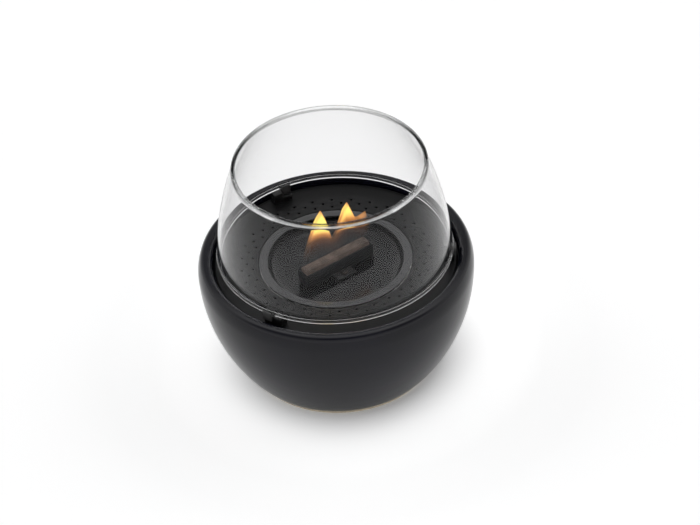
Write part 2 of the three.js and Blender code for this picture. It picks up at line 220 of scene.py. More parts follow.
def finished(shape, name, smooth_angle=35):
    """A bmesh as an object, with its sharp edges marked by angle."""
    mesh = bpy.data.meshes.new(name)
    shape.to_mesh(mesh)
    shape.free()
    mesh.polygons.foreach_set("use_smooth", [True] * len(mesh.polygons))
    mesh.set_sharp_from_angle(angle=math.radians(smooth_angle))
    piece = bpy.data.objects.new(name, mesh)
    bpy.context.scene.collection.objects.link(piece)
    return piece


def new_material(name):
    material = bpy.data.materials.new(name)
    material.use_nodes = True
    return material, material.node_tree, material.node_tree.nodes["Principled BSDF"]


shape = bmesh.new()
bmesh.ops.create_circle(shape, cap_ends=True, segments=96, radius=table_radius)
table_top = finished(shape, "table_top")
table_paper, tree, surface = new_material("table_paper")
surface.inputs["Roughness"].default_value = 0.9
surface.inputs["Specular IOR Level"].default_value = 0.0
surface.inputs["Base Color"].default_value = (0.97, 0.97, 0.972, 1)
rays = tree.nodes.new("ShaderNodeLightPath").outputs
mirrored_glow = math_node(tree, "MULTIPLY", rays["Is Glossy Ray"], glossy_share)
seen = math_node(tree, "MAXIMUM", rays["Is Camera Ray"], rays["Is Transmission Ray"])
seen = math_node(tree, "MAXIMUM", seen, mirrored_glow)
place = tree.nodes.new("ShaderNodeTexCoord").outputs["Object"]
away = vector_node(tree, "DISTANCE", place, glow_middle)
reach = table_glow[-1][0]
glow_stops = [(far / reach, grey(level)) for far, level in table_glow]
glow = ramp_node(tree, math_node(tree, "DIVIDE", away, reach), glow_stops)
# painted light: the ramp of the table's glow, put in as the table's own emission
surface.inputs["Emission Color"].default_value = (1, 1, 1, 1)
tree.links.new(math_node(tree, "MULTIPLY", seen, glow), surface.inputs["Emission Strength"])
table_top.data.materials.append(table_paper)


# ---- Felt base ring ----
# A flat ring of cream needled felt, cut from sheet and glued under the foot, so that the glaze can't scratch
# the table.
# Its upper side is coloured near-black, a painted shade where the foot of the bowl shades it.

felt_low, felt_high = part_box("felt_base_ring")
felt_outer = felt_high.x
felt_width = 0.014
felt_inner = felt_outer - felt_width
felt_round = 0.0007
# height of the painted shade along the top of the felt
painted_shade_height = 0.0018
turning_steps = 192


def arc(radius, height, size, start, end, steps):
    """Points (radius, height) of an arc, angles in degrees."""
    points = []
    for i in range(steps + 1):
        angle = math.radians(start + (end - start) * i / steps)
        points.append((radius + size * math.cos(angle), height + size * math.sin(angle)))
    return points


def rounded_ring(inner, outer, low, high, rounding):
    """The profile of a flat ring with rounded edges."""
    return [
        *arc(outer - rounding, low + rounding, rounding, -90, 0, 3),
        *arc(outer - rounding, high - rounding, rounding, 0, 90, 3),
        *arc(inner + rounding, high - rounding, rounding, 90, 180, 3),
        *arc(inner + rounding, low + rounding, rounding, 180, 270, 3),
    ]


def full_spin(shape, geom, steps, seam=1e-6):
    """Spins points and lines once round Z, and closes the seam and the poles."""
    bmesh.ops.spin(
        shape, geom=geom, cent=(0, 0, 0), axis=(0, 0, 1), angle=2 * math.pi, steps=steps, use_merge=True
    )
    bmesh.ops.remove_doubles(shape, verts=shape.verts, dist=seam)
    bmesh.ops.recalc_face_normals(shape, faces=shape.faces)


def turned(profile, closed=True, steps=turning_steps):
    """A shape spun once round Z from a profile of (radius, height)."""
    shape = bmesh.new()
    points = [shape.verts.new((radius, 0, height)) for radius, height in profile]
    lines = [shape.edges.new(pair) for pair in zip(points, points[1:])]
    if closed:
        lines.append(shape.edges.new((points[-1], points[0])))
    full_spin(shape, points + lines, steps)
    return shape


def noise_node(tree, scale, detail=2.0, stretch=None):
    """Noise on the piece's own coordinates. stretch squeezes the pattern along each axis."""
    place = tree.nodes.new("ShaderNodeTexCoord").outputs["Object"]
    if stretch:
        mapping = tree.nodes.new("ShaderNodeMapping")
        mapping.inputs["Scale"].default_value = stretch
        tree.links.new(place, mapping.inputs["Vector"])
        place = mapping.outputs["Vector"]
    node = tree.nodes.new("ShaderNodeTexNoise")
    tree.links.new(place, node.inputs["Vector"])
    if isinstance(scale, bpy.types.NodeSocket):
        tree.links.new(scale, node.inputs["Scale"])
    else:
        node.inputs["Scale"].default_value = scale
    node.inputs["Detail"].default_value = detail
    return node.outputs["Fac"]


# relief that every finish has in its own size: slow waviness and fine grain, as a normal
relief = bpy.data.node_groups.new("relief", "ShaderNodeTree")
for label, value in (("Wave Scale", 30), ("Wave Depth", 3e-5), ("Grain Scale", 900), ("Grain Depth", 4e-6)):
    relief.interface.new_socket(label, in_out="INPUT", socket_type="NodeSocketFloat").default_value = value
relief.interface.new_socket("Normal", in_out="OUTPUT", socket_type="NodeSocketVector")
relief.interface.new_socket("Grain", in_out="OUTPUT", socket_type="NodeSocketFloat")
sizes = relief.nodes.new("NodeGroupInput").outputs
result = relief.nodes.new("NodeGroupOutput").inputs
wave = noise_node(relief, sizes["Wave Scale"], 1.0)
grain = noise_node(relief, sizes["Grain Scale"], 2.0)
bump = relief.nodes.new("ShaderNodeBump")
bump.inputs["Strength"].default_value = 1.0
bump.inputs["Distance"].default_value = 1.0
relief.links.new(math_node(
    relief, "ADD",
    math_node(relief, "MULTIPLY", wave, sizes["Wave Depth"]),
    math_node(relief, "MULTIPLY", grain, sizes["Grain Depth"]),
), bump.inputs["Height"])
relief.links.new(bump.outputs["Normal"], result["Normal"])
relief.links.new(grain, result["Grain"])


def add_relief(tree, surface, wave_scale, wave_depth, grain_scale, grain_depth):
    node = tree.nodes.new("ShaderNodeGroup")
    node.node_tree = relief
    for socket, value in zip(node.inputs, (wave_scale, wave_depth, grain_scale, grain_depth)):
        socket.default_value = value
    tree.links.new(node.outputs["Normal"], surface.inputs["Normal"])
    return node.outputs["Grain"]


def vary(tree, surface, socket, factor, low, high):
    """Drives a socket of the surface between two values or colours."""
    if isinstance(low, tuple):
        result = ramp_node(tree, factor, [(0.35, low), (0.65, high)])
    else:
        result = range_node(tree, factor, 0.35, 0.65, low, high)
    tree.links.new(result, surface.inputs[socket])


felt_profile = rounded_ring(felt_inner, felt_outer, felt_low.z, felt_high.z, felt_round)
felt_ring = finished(turned(felt_profile), "felt_ring")
felt, tree, surface = new_material("cream_felt")
fibres = noise_node(tree, 1500, 4.0, stretch=(1, 1, 0.4))
felt_colour = ramp_node(tree, fibres, [(0.35, (0.5, 0.42, 0.3)), (0.65, (0.72, 0.64, 0.5))])
place = tree.nodes.new("ShaderNodeTexCoord").outputs["Object"]
level = vector_node(tree, "DOT_PRODUCT", place, (0, 0, 1))
# painted shade: the top of the felt ring is coloured near-black, where the foot of the bowl shades it
painted_shade_band = range_node(tree, level, felt_high.z - painted_shade_height, felt_high.z - 0.7 * painted_shade_height, 0, 1)
tree.links.new(mix_colours(tree, painted_shade_band, felt_colour, (0.01, 0.009, 0.008)), surface.inputs["Base Color"])
surface.inputs["Roughness"].default_value = 1.0
surface.inputs["Sheen Weight"].default_value = 0.3
add_relief(tree, surface, 250, 0.0002, 1600, 0.00012)
felt_ring.data.materials.append(felt)
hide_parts("felt_base_ring")
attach(felt_ring, "base")


# ---- Bowl ----
# Slip-cast stoneware with a thick rolled lip, dipped in glossy black glaze. A shelf inside the lip, cast
# with the bowl, carries the burner tray. The glaze pools a little, so its reflections waver slightly.

bowl_low, bowl_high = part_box("bowl")
bowl_belly = bowl_high.x
bowl_foot = 0.0765
foot_round = 0.0012
belly_power = 1.9
lip_size = 0.005
lip_inset = 0.0067
belly_drop = 0.0084
bowl_wall = 0.006
bowl_floor = 0.007
ledge_drop = 0.0139
ledge_width = 0.0068
ledge_thick = 0.0025
ledge_slope = 0.012
ledge_round = 0.0006

lip_height = bowl_high.z - lip_size
lip_ring = bowl_belly - lip_inset
belly_height = lip_height - belly_drop
bowl_mouth = lip_ring - lip_size
ledge_top = bowl_high.z - ledge_drop
foot_share = (1 - (bowl_foot / bowl_belly) ** belly_power) ** (1 / belly_power)
belly_depth = (belly_height - bowl_low.z) / foot_share


def belly_curve(widest, depth, height):
    share = (belly_height - height) / depth
    return widest * (1 - share ** belly_power) ** (1 / belly_power)


def climb(widest, depth, low, high, steps):
    """Points of the belly's curve, from one height to another."""
    heights = [low + (high - low) * i / steps for i in range(steps + 1)]
    return [(belly_curve(widest, depth, height), height) for height in heights]


shoulder_size = (lip_inset ** 2 + belly_drop ** 2 - lip_size ** 2) / (2 * (lip_inset - lip_size))
shoulder_ring = bowl_belly - shoulder_size
lip_start = math.degrees(math.atan2(belly_drop, lip_ring - shoulder_ring))
ledge_inner = bowl_mouth - ledge_width
ledge_root = ledge_top - ledge_thick - ledge_slope
bowl_inside = bowl_low.z + bowl_floor
bowl_profile = [
    (0, bowl_low.z),
    *arc(bowl_foot - foot_round, bowl_low.z + foot_round, foot_round, -90, -25, 4),
    *climb(bowl_belly, belly_depth, bowl_low.z + 1.2 * foot_round, belly_height, 40),
    *arc(shoulder_ring, belly_height, shoulder_size, 0, lip_start, 10)[1:],
    *arc(lip_ring, lip_height, lip_size, lip_start, 180, 28)[1:],
    *arc(bowl_mouth - ledge_round, ledge_top + ledge_round, ledge_round, 0, -90, 4),
    *arc(ledge_inner + ledge_round, ledge_top - ledge_round, ledge_round, 90, 180, 4),
    (ledge_inner, ledge_top - ledge_thick),
    *reversed(climb(bowl_belly - bowl_wall, belly_depth - bowl_wall, bowl_inside, ledge_root, 24)),
    (0, bowl_inside),
]
bowl = finished(turned(bowl_profile, closed=False), "stoneware_bowl")
glaze, tree, surface = new_material("black_glaze")
pooling = noise_node(tree, 14, 2.0)
vary(tree, surface, "Base Color", pooling, (0.0022, 0.0022, 0.0042), (0.0036, 0.0036, 0.0075))
vary(tree, surface, "Roughness", noise_node(tree, 60, 2.0), 0.02, 0.05)
surface.inputs["IOR"].default_value = 1.5
surface.inputs["Specular IOR Level"].default_value = 0.27
add_relief(tree, surface, 35, 0.00006, 500, 0.0000012)
bowl.data.materials.append(glaze)
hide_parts("bowl")
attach(bowl, "base")


# ---- Rest pads ----
# Three moulded silicone pads, stuck on the bowl's shelf, so that the steel tray doesn't rattle on the glaze.

black_silicone, tree, surface = new_material("black_silicone")
vary(tree, surface, "Base Color", noise_node(tree, 300), (0.012, 0.012, 0.012), (0.02, 0.02, 0.02))
surface.inputs["Roughness"].default_value = 0.6
add_relief(tree, surface, 200, 0.00002, 2200, 0.000006)
pad_round = 0.0004
pad_length = 0.012
pad_margin = 0.0008
pad_width = ledge_width - 2 * pad_margin
pad_thick = 0.0015
pad_ring = bowl_mouth - ledge_width / 2
pad_first_angle = math.radians(54)


def round_edges(shape, edges, rounding, segments=3):
    bmesh.ops.bevel(
        shape, geom=edges, offset=rounding, segments=segments, profile=0.5, affect="EDGES", material=-1
    )


def turn_round(shape, angle, verts=None):
    """Turns a shape, or some of its points, about Z."""
    turn = Matrix.Rotation(angle, 3, "Z")
    bmesh.ops.rotate(shape, cent=(0, 0, 0), matrix=turn, verts=verts or shape.verts)
    return shape


def box_shape(size, centre):
    shape = bmesh.new()
    bmesh.ops.create_cube(shape, size=1.0)
    bmesh.ops.scale(shape, vec=size, verts=shape.verts)
    bmesh.ops.translate(shape, vec=centre, verts=shape.verts)
    return shape


def block(size, centre, rounding, segments=3):
    """A box with rounded edges."""
    shape = box_shape(size, centre)
    round_edges(shape, shape.edges[:], rounding, segments)
    return shape


for i in range(3):
    pad_middle = (pad_ring, 0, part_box(f"rest_pad_{i + 1}")[0].z + pad_thick / 2)
    shape = block((pad_width, pad_length, pad_thick), pad_middle, pad_round)
    pad = finished(turn_round(shape, pad_first_angle + 2 * math.pi * i / 3), f"silicone_pad_{i + 1}")
    pad.data.materials.append(black_silicone)
    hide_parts(f"rest_pad_{i + 1}")
    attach(pad, "base")


# ---- Burner tray ----
# A disc of sheet steel with a rolled-down skirt, pressed down in the middle for the burner and punched
# with three staggered rows of small air holes, then coated in fine satin black powder.

tray_low, tray_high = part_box("burner_tray")
tray_radius = tray_high.x
tray_sheet = 0.0015
tray_round = 0.002
recess_depth = 0.003
recess_radius = 0.0619
tray_hole = 0.0568
hole_radius = 0.00115
hole_round = 0.00018
hole_sides = 16
bands_per_cell = hole_sides // 4
holes_per_row = 30
hole_row_start = recess_radius + 0.0046
hole_row_pitch = 0.0045
patch_turn = math.pi / holes_per_row  # half the step between two holes of one row
recess_bend = 0.0009
tray_burr = 0.0002  # rounding of the skirt's cut edge
tray_inside_bend = 0.0005
recess_slope = 0.0004

black_powder, tree, surface = new_material("black_powder_coat")
grain = add_relief(tree, surface, 60, 0.000012, 1400, 0.000005)
vary(tree, surface, "Base Color", grain, (0.004, 0.004, 0.0043), (0.006, 0.006, 0.0065))
vary(tree, surface, "Roughness", noise_node(tree, 40, 3.0), 0.3, 0.37)
surface.inputs["Specular IOR Level"].default_value = 0.15


def points_of(geom):
    return [item for item in geom if isinstance(item, bmesh.types.BMVert)]


def edges_of(geom):
    return [item for item in geom if isinstance(item, bmesh.types.BMEdge)]


def edges_at(verts):
    return list({edge for vert in verts for edge in vert.link_edges})


def ring_cell(shape, inner, outer, start, end, height, with_hole):
    """One cell of the plate between two radii and two angles, plain or with an air hole in its middle."""
    grid = bmesh.ops.create_grid(
        shape, x_segments=bands_per_cell, y_segments=bands_per_cell, size=1.0
    )["verts"]
    rim = [vert for vert in grid if max(abs(vert.co.x), abs(vert.co.y)) > 0.99]
    if with_hole:
        bmesh.ops.delete(shape, geom=[vert for vert in grid if vert not in rim], context="VERTS")
        grid = rim
    for vert in grid:
        radius = inner + (outer - inner) * (vert.co.x + 1) / 2
        angle = start + (end - start) * (vert.co.y + 1) / 2
        vert.co = (radius * math.cos(angle), radius * math.sin(angle), height)
    if not with_hole:
        return
    middle = (inner + outer) / 2
    turn = (start + end) / 2
    centre = Matrix.Translation((middle * math.cos(turn), middle * math.sin(turn), height))
    outline = edges_at(rim)
    mouth = bmesh.ops.create_circle(
        shape, segments=hole_sides, radius=hole_radius + hole_round, matrix=centre
    )["verts"]
    mouth_edges = edges_at(mouth)
    bmesh.ops.bridge_loops(shape, edges=outline + mouth_edges)
    small, large = 0.3 * hole_round, 0.7 * hole_round
    for drop, inward in ((small, large), (large, small), (tray_sheet, 0)):
        extruded = bmesh.ops.extrude_edge_only(shape, edges=mouth_edges)["geom"]
        mouth = points_of(extruded)
        mouth_edges = edges_of(extruded)
        shrink = 1 - inward / hole_radius
        bmesh.ops.scale(shape, vec=(shrink, shrink, 1), space=centre.inverted(), verts=mouth)
        bmesh.ops.translate(shape, vec=(0, 0, -drop), verts=mouth)


plate = bmesh.new()
row_edges = [hole_row_start + (row - 0.5) * hole_row_pitch for row in range(4)]
for row in range(3):
    for half in range(2):
        start = (half - 0.5) * patch_turn
        holed = (row + half) % 2 == 1
        ring_cell(plate, row_edges[row], row_edges[row + 1], start, start + patch_turn, tray_high.z, holed)
bmesh.ops.spin(
    plate,
    geom=plate.verts[:] + plate.edges[:] + plate.faces[:],
    cent=(0, 0, 0),
    axis=(0, 0, 1),
    angle=2 * math.pi,
    steps=holes_per_row,
    use_merge=False,
    use_duplicate=True,
)
bmesh.ops.remove_doubles(plate, verts=plate.verts, dist=1e-6)
plate_under = tray_high.z - tray_sheet
recess_floor = tray_high.z - recess_depth
outer_top = [
    (row_edges[3], tray_high.z),
    *reversed(arc(tray_radius - tray_round, tray_high.z - tray_round, tray_round, 0, 90, 8)),
    (tray_radius, tray_low.z + tray_burr),
    (tray_radius - tray_burr, tray_low.z),
    (tray_radius - tray_sheet + tray_burr, tray_low.z),
    (tray_radius - tray_sheet, tray_low.z + tray_burr),
    (tray_radius - tray_sheet, plate_under - tray_inside_bend),
    (tray_radius - tray_sheet - tray_inside_bend, plate_under),
    (recess_radius + tray_sheet, plate_under),
    (recess_radius + tray_sheet - recess_slope, recess_floor - tray_sheet),
    (tray_hole, recess_floor - tray_sheet),
    (tray_hole, recess_floor),
    (recess_radius - recess_slope, recess_floor),
    *arc(recess_radius + recess_bend, tray_high.z - recess_bend, recess_bend, 180, 90, 6),
    (row_edges[0], tray_high.z),
]
points = [plate.verts.new((radius, 0, height)) for radius, height in outer_top]
lines = [plate.edges.new(pair) for pair in zip(points, points[1:])]
turn_round(plate, -patch_turn / 2, points)
full_spin(plate, points + lines, 2 * bands_per_cell * holes_per_row, seam=2e-6)
tray = finished(plate, "perforated_tray")
tray.data.materials.append(black_powder)
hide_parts("burner_tray")
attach(tray, "tray_insert")


# ---- Fuel can ----
# A deep-drawn stainless steel can that hangs by its flange in the middle of the tray and holds the wool and
# the ethanol. It is brushed round on the lathe.

can_low, can_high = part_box("fuel_can")
can_flange = can_high.x
can_flange_width = 0.005
can_radius = can_flange - can_flange_width
can_sheet = 0.0008
can_corner = 0.005
can_bend = 0.0006
can_inner = can_radius - can_sheet
can_corner_ring = can_radius - can_corner
can_corner_height = can_low.z + can_corner
flange_under = can_high.z - can_sheet
can_profile = [
    (0, can_low.z),
    *arc(can_corner_ring, can_corner_height, can_corner, -90, 0, 10),
    *arc(can_radius + can_bend, flange_under - can_bend, can_bend, 180, 90, 4),
    *arc(can_flange - can_sheet / 2, can_high.z - can_sheet / 2, can_sheet / 2, -90, 90, 6),
    *arc(can_inner + can_bend, can_high.z - can_bend, can_bend, 90, 180, 4),
    *reversed(arc(can_corner_ring, can_corner_height, can_corner - can_sheet, -90, 0, 10)),
    (0, can_low.z + can_sheet),
]
can = finished(turned(can_profile, closed=False), "fuel_can_shell")
stainless, tree, surface = new_material("stainless_steel")
brushing = noise_node(tree, 700, 3.0, stretch=(0.12, 0.12, 4.0))
vary(tree, surface, "Base Color", brushing, (0.5, 0.49, 0.48), (0.64, 0.63, 0.62))
vary(tree, surface, "Roughness", brushing, 0.22, 0.34)
surface.inputs["Metallic"].default_value = 1.0
add_relief(tree, surface, 90, 0.00001, 1800, 0.000002)
can.data.materials.append(stainless)
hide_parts("fuel_can")
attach(can, "burner")


# ---- Can gasket ----
# A flat ring punched from black silicone sheet, between the flange of the can and the flange of the dish.

gasket_low, gasket_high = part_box("can_gasket")
gasket_outer = gasket_high.x
gasket_round = 0.0002
gasket_profile = rounded_ring(can_inner, gasket_outer, gasket_low.z, gasket_high.z, gasket_round)
gasket = finished(turned(gasket_profile), "silicone_gasket")
gasket.data.materials.append(black_silicone)
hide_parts("can_gasket")
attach(gasket, "burner")


# ---- Burner dish ----
# A well spun from thin sheet steel and stove-enamelled gloss black. Its flange lies over the can's flange and
# is coloured a lighter grey than the well, a painted highlight where its flat top catches the light. The slab
# passes through a slot in its floor.

dish_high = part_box("burner_dish")[1]
dish_flange = dish_high.x
dish_sheet = 0.0008
dish_play = 0.0007
dish_rim = can_inner - dish_play - dish_sheet
dish_rim_round = 0.0014
dish_depth = 0.010
dish_floor_margin = 0.0085
well_steps = 24
dish_floor = dish_high.z - dish_depth
slab_turn = math.radians(34)
slab_low, slab_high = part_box("wick_slab")
slab_length = 0.062
slab_thick = 0.0095
slab_play = 0.0004
holder_sheet = 0.0012
holder_height = 0.0114
holder_length = slab_length + 2 * (slab_play + holder_sheet)
holder_width = slab_thick + 2 * (slab_play + holder_sheet)
dish_floor_radius = math.hypot(holder_length, holder_width) / 2 + dish_floor_margin
along_slab = Vector((math.cos(slab_turn), math.sin(slab_turn), 0))
across_slab = Vector((-math.sin(slab_turn), math.cos(slab_turn), 0))


def cut_slot(shape, faces, length, width):
    """Cuts the slab's opening out of some flat faces of a piece."""
    for side, half in ((along_slab, length / 2), (across_slab, width / 2)):
        for way in (side, -side):
            near = [face for face in faces if face.is_valid]
            edges = list({edge for face in near for edge in face.edges})
            verts = list({vert for face in near for vert in face.verts})
            cut = bmesh.ops.bisect_plane(
                shape, geom=near + edges + verts, dist=1e-7, plane_co=way * half, plane_no=way
            )
            faces = [item for item in cut["geom"] if isinstance(item, bmesh.types.BMFace)]
    waste = []
    for face in faces:
        middle = face.calc_center_median()
        if abs(middle.dot(along_slab)) < length / 2 and abs(middle.dot(across_slab)) < width / 2:
            waste.append(face)
    bmesh.ops.delete(shape, geom=waste, context="FACES")


def layer_mask(tree, name):
    """A value that the mesh carries on its points."""
    node = tree.nodes.new("ShaderNodeAttribute")
    node.attribute_name = name
    return node.outputs["Fac"]


bend_height = dish_high.z - dish_rim_round
well = []
for i in range(well_steps + 1):
    angle = math.radians(-90 + 90 * i / well_steps)
    radius = dish_floor_radius + (dish_rim - dish_floor_radius) * math.cos(angle)
    well.append((radius, bend_height + (bend_height - dish_floor) * math.sin(angle)))
dish_profile = [
    (0, dish_floor),
    *well,
    *reversed(arc(dish_rim + dish_rim_round, bend_height, dish_rim_round, 90, 180, 8)[:-1]),
    (dish_flange - 0.0004, dish_high.z),
    (dish_flange, dish_high.z - 0.0001),
]
shape = turned(dish_profile, closed=False)
flat = [face for face in shape.faces if all(vert.co.z < dish_floor + 1e-6 for vert in face.verts)]
cut_slot(shape, flat, slab_length + 2 * slab_play, slab_thick + 2 * slab_play)
for face in shape.faces:
    face.normal_update()
if next(iter(shape.faces)).normal.z < 0:
    bmesh.ops.reverse_faces(shape, faces=shape.faces)
bmesh.ops.solidify(shape, geom=shape.faces[:], thickness=dish_sheet)
# painted highlight: points on the flange get 1, so that the flange is coloured lighter grey than the well
painted_flange_highlight = shape.verts.layers.float.new("painted_flange_highlight")
for vert in shape.verts:
    vert[painted_flange_highlight] = 1.0 if vert.co.xy.length > dish_rim + 0.5 * dish_rim_round else 0.0
dish = finished(shape, "enamelled_dish", smooth_angle=30)
black_enamel, tree, surface = new_material("black_enamel")
grain = add_relief(tree, surface, 45, 0.00001, 1100, 0.0000008)
enamel_colour = ramp_node(tree, grain, [(0.35, (0.004, 0.004, 0.0043)), (0.65, (0.006, 0.006, 0.0065))])
# painted highlight: the flange's lighter grey is mixed in over the enamel's colour
flange_highlight_colour = mix_colours(tree, layer_mask(tree, "painted_flange_highlight"), enamel_colour, (0.052, 0.052, 0.054))
tree.links.new(flange_highlight_colour, surface.inputs["Base Color"])
vary(tree, surface, "Roughness", noise_node(tree, 55, 3.0), 0.07, 0.1)
surface.inputs["Specular IOR Level"].default_value = 0.25
dish.data.materials.append(black_enamel)
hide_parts("burner_dish")
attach(dish, "burner")


# ---- Wick holder ----
# A channel folded from steel sheet, open above and below, that grips the lower part of the slab. Two lugs
# at its foot are screwed to the floor of the dish. It is coated like the tray, and the fire has smoked the
# coat a dull grey.

holder_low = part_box("wick_holder")[0]
holder_round = 0.0005
lug_length = 0.018
lug_width = 0.009
lug_round = 0.0004
lug_root = 0.0003  # how far a lug reaches into the channel's side


def add_block(shape, size, centre, rounding, segments=3):
    """Joins one more rounded block to a shape."""
    mesh = bpy.data.meshes.new("block")
    lump = block(size, centre, rounding, segments)
    lump.to_mesh(mesh)
    lump.free()
    shape.from_mesh(mesh)
    bpy.data.meshes.remove(mesh)


shape = box_shape((holder_length, holder_width, holder_height), (0, 0, holder_low.z + holder_height / 2))
bmesh.ops.delete(shape, geom=[face for face in shape.faces if abs(face.normal.z) > 0.5], context="FACES_ONLY")
bmesh.ops.solidify(shape, geom=shape.faces[:], thickness=holder_sheet)
round_edges(shape, shape.edges[:], holder_round)
for way in (-1, 1):
    lug_middle = (0, way * ((holder_width + lug_width) / 2 - lug_root), holder_low.z + holder_sheet / 2)
    add_block(shape, (lug_length, lug_width + 2 * lug_root, holder_sheet), lug_middle, lug_round)
holder = finished(turn_round(shape, slab_turn), "slab_channel")
smoked_black, tree, surface = new_material("smoked_black")
smoke = add_relief(tree, surface, 60, 0.00001, 1200, 0.000004)
vary(tree, surface, "Base Color", smoke, (0.018, 0.018, 0.0187), (0.027, 0.027, 0.028))
vary(tree, surface, "Roughness", noise_node(tree, 55, 3.0), 0.34, 0.42)
surface.inputs["Specular IOR Level"].default_value = 0.15
holder.data.materials.append(smoked_black)
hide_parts("wick_holder")
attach(holder, "burner")


# ---- Screws and nuts of the wick holder ----
# Two stainless M3 pan-head screws with a hexagon socket, put in from above through the lugs and the dish,
# and two plain nuts under the dish. The heat beside the flames has stained the screws dark.

screw_radius = 0.0015
screw_head = 0.0028
screw_head_height = 0.002
socket_radius = 0.0011
socket_depth = 0.0013
screw_dome = 0.0012
screw_chamfer = 0.0003
screw_aside = 0.005  # from the side of the channel
nut_chamfer = 0.00025
nut_corner = 0.0031
nut_bore = 0.0016
small_steps = 24


def screw_shape(length):
    """A screw along Z with its head above z = 0."""
    top = screw_head_height
    profile = [
        (0, -length),
        (screw_radius - screw_chamfer, -length),
        (screw_radius, -length + screw_chamfer),
        (screw_radius, 0),
        (screw_head - 0.0002, 0),
        (screw_head, 0.0002),
        *arc(screw_head - screw_dome, top - screw_dome, screw_dome, 0, 78, 6),
        (1.25 * socket_radius, top),
    ]
    shape = turned(profile, closed=False, steps=small_steps)
    open_edges = [edge for edge in shape.edges if edge.is_boundary]
    corners = bmesh.ops.create_circle(
        shape, segments=6, radius=socket_radius, matrix=Matrix.Translation((0, 0, top))
    )["verts"]
    split = bmesh.ops.subdivide_edges(shape, edges=edges_at(corners), cuts=small_steps // 6 - 1)["geom_inner"]
    ring = set(corners) | set(points_of(split))
    hexagon = [edge for edge in shape.edges if edge.is_wire and set(edge.verts) <= ring]
    bmesh.ops.bridge_loops(shape, edges=open_edges + hexagon)
    sunk = bmesh.ops.extrude_edge_only(shape, edges=hexagon)["geom"]
    bmesh.ops.translate(shape, vec=(0, 0, -socket_depth), verts=points_of(sunk))
    bmesh.ops.contextual_create(shape, geom=edges_of(sunk))
    bmesh.ops.recalc_face_normals(shape, faces=shape.faces)
    return shape


def nut_shape(height):
    """A hexagon nut along Z with its lower face at z = 0 and a countersunk bore."""
    shape = bmesh.new()
    corners = bmesh.ops.create_circle(shape, segments=6, radius=nut_corner)["verts"]
    bmesh.ops.subdivide_edges(shape, edges=edges_at(corners), cuts=small_steps // 6 - 1)
    outline = shape.edges[:]
    bore = bmesh.ops.create_circle(shape, segments=small_steps, radius=nut_bore)["verts"]
    bmesh.ops.bridge_loops(shape, edges=outline + edges_at(bore))
    raised = bmesh.ops.extrude_face_region(shape, geom=shape.faces[:])["geom"]
    bmesh.ops.translate(shape, vec=(0, 0, height), verts=points_of(raised))
    bmesh.ops.recalc_face_normals(shape, faces=shape.faces)
    rims = [edge for edge in shape.edges if abs(edge.calc_face_angle(0)) > 1.2]
    round_edges(shape, rims, nut_chamfer, 2)
    return shape


heated_steel, tree, surface = new_material("heated_steel")
stain = noise_node(tree, 350, 3.0)
vary(tree, surface, "Base Color", stain, (0.03, 0.026, 0.024), (0.07, 0.062, 0.058))
vary(tree, surface, "Roughness", stain, 0.35, 0.5)
surface.inputs["Metallic"].default_value = 1.0
add_relief(tree, surface, 90, 0.00001, 1800, 0.000002)

for i, way in enumerate((-1, 1)):
    screw_low, screw_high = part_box(f"wick_screw_{i + 1}")
    nut_low, nut_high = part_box(f"wick_nut_{i + 1}")
    place = way * (holder_width / 2 + screw_aside) * across_slab
    head_seat = screw_high.z - screw_head_height
    shape = screw_shape(head_seat - screw_low.z)
    bmesh.ops.translate(shape, vec=place + Vector((0, 0, head_seat)), verts=shape.verts)
    screw = finished(shape, f"holder_screw_{i + 1}", smooth_angle=50)
    screw.data.materials.append(heated_steel)
    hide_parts(f"wick_screw_{i + 1}")
    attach(screw, "burner")
    shape = turn_round(nut_shape(nut_high.z - nut_low.z), slab_turn)
    bmesh.ops.translate(shape, vec=place + Vector((0, 0, nut_low.z)), verts=shape.verts)
    nut = finished(shape, f"holder_nut_{i + 1}")
    nut.data.materials.append(stainless)
    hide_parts(f"wick_nut_{i + 1}")
    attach(nut, "burner")


# ---- Absorbent wool ----
# A plug of white ceramic fibre cut to fill the can, with a slot for the slab. It holds the ethanol, so that
# none spills if the bowl is knocked over.

wool_low, wool_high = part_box("absorbent_wool")
wool_radius = wool_high.x
wool_round = 0.0015
wool_swell = 0.0006
wool_top_rings = 12
wool_corner = 0.005
wool_flat = wool_radius - wool_round
wool_profile = [
    (0, wool_low.z),
    *arc(wool_radius - wool_corner, wool_low.z + wool_corner, wool_corner, -90, 0, 6),
    *arc(wool_flat, wool_high.z - wool_round, wool_round, 0, 90, 4),
    *[(wool_flat * (1 - i / wool_top_rings), wool_high.z) for i in range(1, wool_top_rings + 1)],
]
shape = turned(wool_profile, closed=False, steps=96)
for level in (wool_low.z, wool_high.z):
    flat = [face for face in shape.faces if all(abs(vert.co.z - level) < 1e-6 for vert in face.verts)]
    cut_slot(shape, flat, slab_length + 2 * slab_play, slab_thick + 2 * slab_play)
bmesh.ops.bridge_loops(shape, edges=[edge for edge in shape.edges if edge.is_boundary])
bmesh.ops.recalc_face_normals(shape, faces=shape.faces)
for vert in shape.verts:
    if vert.co.z > wool_high.z - 1e-5:
        vert.co.z -= wool_swell * (0.5 + 0.5 * noise.noise(vert.co * 250))
wool = finished(shape, "fibre_plug", smooth_angle=40)
ceramic_fibre, tree, surface = new_material("ceramic_wool")
tufts = noise_node(tree, 400, 5.0)
vary(tree, surface, "Base Color", tufts, (0.7, 0.69, 0.66), (0.88, 0.87, 0.84))
surface.inputs["Roughness"].default_value = 1.0
surface.inputs["Sheen Weight"].default_value = 0.2
add_relief(tree, surface, 260, 0.0005, 1300, 0.00015)
wool.data.materials.append(ceramic_fibre)
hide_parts("absorbent_wool")
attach(wool, "burner")


# ---- Wick slab ----
# A bar sawn from brown fibre board, which draws the ethanol up to its top edge. Burning has browned it and
# left soot along the top, and the sawn faces are a little uneven.

